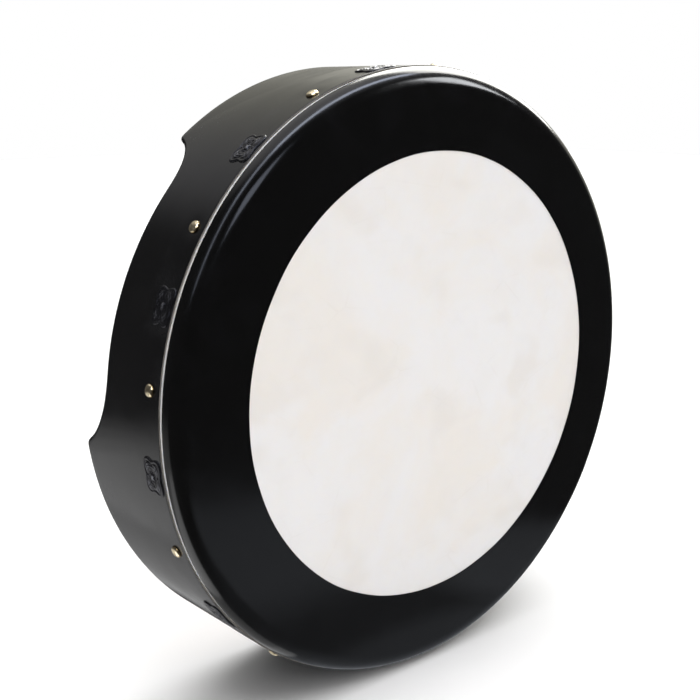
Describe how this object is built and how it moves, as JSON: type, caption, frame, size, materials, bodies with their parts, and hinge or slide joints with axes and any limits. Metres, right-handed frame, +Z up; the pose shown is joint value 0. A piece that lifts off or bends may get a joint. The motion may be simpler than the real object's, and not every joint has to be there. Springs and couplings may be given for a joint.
{
  "type": "bodhran",
  "caption": "Deep-rimmed Irish frame drum with a taped goatskin head, brass-nailed black rim, arm cutaway and internal bolt tuning.",
  "frame": {"origin": "the point under the middle of the rim where a stand's cradle or the player's thigh carries the upright drum", "axes": "+Z up, +Y along the drum's axis from the head to the open back (the head faces -Y), +X to the right seen from the front"},
  "size_m": [0.4595, 0.1142, 0.4603],
  "materials": {
    "lacquered_shell": "gloss black lacquer over bent ply, plain wood grain inside",
    "goatskin": "matt bleached skin with faint blotches",
    "edge_tape": "satin black vinyl tape",
    "leather_band": "polished black leather",
    "brass_nail": "polished brass",
    "dark_ornament": "blackened cast relief",
    "ring_wood": "clear satin over pale hardwood",
    "bracket_steel": "zinc plated",
    "bolt_steel": "black oxide",
    "screw_brass": "brass plated"
  },
  "bodies": {
    "drum": {"shell": "lacquered_shell", "head_skin": "goatskin", "edge_tape": "edge_tape", "rim_band": "leather_band", "band_nail_01": "brass_nail", "band_nail_02": "brass_nail", "band_nail_03": "brass_nail", "band_nail_04": "brass_nail", "band_nail_05": "brass_nail", "band_nail_06": "brass_nail", "band_nail_07": "brass_nail", "band_nail_08": "brass_nail", "band_nail_09": "brass_nail", "band_nail_10": "brass_nail", "band_nail_11": "brass_nail", "band_nail_12": "brass_nail", "rim_ornament_01": "dark_ornament", "rim_ornament_02": "dark_ornament", "rim_ornament_03": "dark_ornament", "rim_ornament_04": "dark_ornament", "rim_ornament_05": "dark_ornament", "rim_ornament_06": "dark_ornament", "rim_ornament_07": "dark_ornament", "rim_ornament_08": "dark_ornament", "rim_ornament_09": "dark_ornament", "rim_ornament_10": "dark_ornament", "rim_ornament_11": "dark_ornament", "rim_ornament_12": "dark_ornament", "tuning_bracket_1": "bracket_steel", "tuning_bracket_2": "bracket_steel", "tuning_bracket_3": "bracket_steel", "tuning_bracket_4": "bracket_steel", "tuning_bracket_5": "bracket_steel", "tuning_bracket_6": "bracket_steel", "bracket_screw_01": "screw_brass", "bracket_screw_02": "screw_brass", "bracket_screw_03": "screw_brass", "bracket_screw_04": "screw_brass", "bracket_screw_05": "screw_brass", "bracket_screw_06": "screw_brass", "bracket_screw_07": "screw_brass", "bracket_screw_08": "screw_brass", "bracket_screw_09": "screw_brass", "bracket_screw_10": "screw_brass", "bracket_screw_11": "screw_brass", "bracket_screw_12": "screw_brass"},
    "tuning_ring": {"tuning_ring": "ring_wood"},
    "tuning_bolt_1": {"tuning_bolt_1": "bolt_steel"},
    "tuning_bolt_2": {"tuning_bolt_2": "bolt_steel"},
    "tuning_bolt_3": {"tuning_bolt_3": "bolt_steel"},
    "tuning_bolt_4": {"tuning_bolt_4": "bolt_steel"},
    "tuning_bolt_5": {"tuning_bolt_5": "bolt_steel"},
    "tuning_bolt_6": {"tuning_bolt_6": "bolt_steel"}
  },
  "joints": [
    {"name": "tuning_ring_slide", "type": "slide", "parent": "drum", "child": "tuning_ring", "axis": [0, -1, 0], "range_m": [-0.004, 0]},
    {"name": "tuning_bolt_1_turn", "type": "hinge", "parent": "tuning_ring", "child": "tuning_bolt_1", "pos_m": [-0.12534, -0.00715, 0.39154], "axis": [0, -1, 0], "range_deg": [-1440, 0]},
    {"name": "tuning_bolt_2_turn", "type": "hinge", "parent": "tuning_ring", "child": "tuning_bolt_2", "pos_m": [-0.20261, -0.00715, 0.2022], "axis": [0, -1, 0], "range_deg": [-1440, 0]},
    {"name": "tuning_bolt_3_turn", "type": "hinge", "parent": "tuning_ring", "child": "tuning_bolt_3", "pos_m": [-0.07727, -0.00715, 0.04061], "axis": [0, -1, 0], "range_deg": [-1440, 0]},
    {"name": "tuning_bolt_4_turn", "type": "hinge", "parent": "tuning_ring", "child": "tuning_bolt_4", "pos_m": [0.12534, -0.00715, 0.06836], "axis": [0, -1, 0], "range_deg": [-1440, 0]},
    {"name": "tuning_bolt_5_turn", "type": "hinge", "parent": "tuning_ring", "child": "tuning_bolt_5", "pos_m": [0.20261, -0.00715, 0.2577], "axis": [0, -1, 0], "range_deg": [-1440, 0]},
    {"name": "tuning_bolt_6_turn", "type": "hinge", "parent": "tuning_ring", "child": "tuning_bolt_6", "pos_m": [0.07727, -0.00715, 0.41929], "axis": [0, -1, 0], "range_deg": [-1440, 0]}
  ],
  "couplings": [
    {"joint": "tuning_bolt_1_turn", "follows": "tuning_ring_slide", "rad_per_m": 6283.2},
    {"joint": "tuning_bolt_2_turn", "follows": "tuning_ring_slide", "rad_per_m": 6283.2},
    {"joint": "tuning_bolt_3_turn", "follows": "tuning_ring_slide", "rad_per_m": 6283.2},
    {"joint": "tuning_bolt_4_turn", "follows": "tuning_ring_slide", "rad_per_m": 6283.2},
    {"joint": "tuning_bolt_5_turn", "follows": "tuning_ring_slide", "rad_per_m": 6283.2},
    {"joint": "tuning_bolt_6_turn", "follows": "tuning_ring_slide", "rad_per_m": 6283.2}
  ]
}
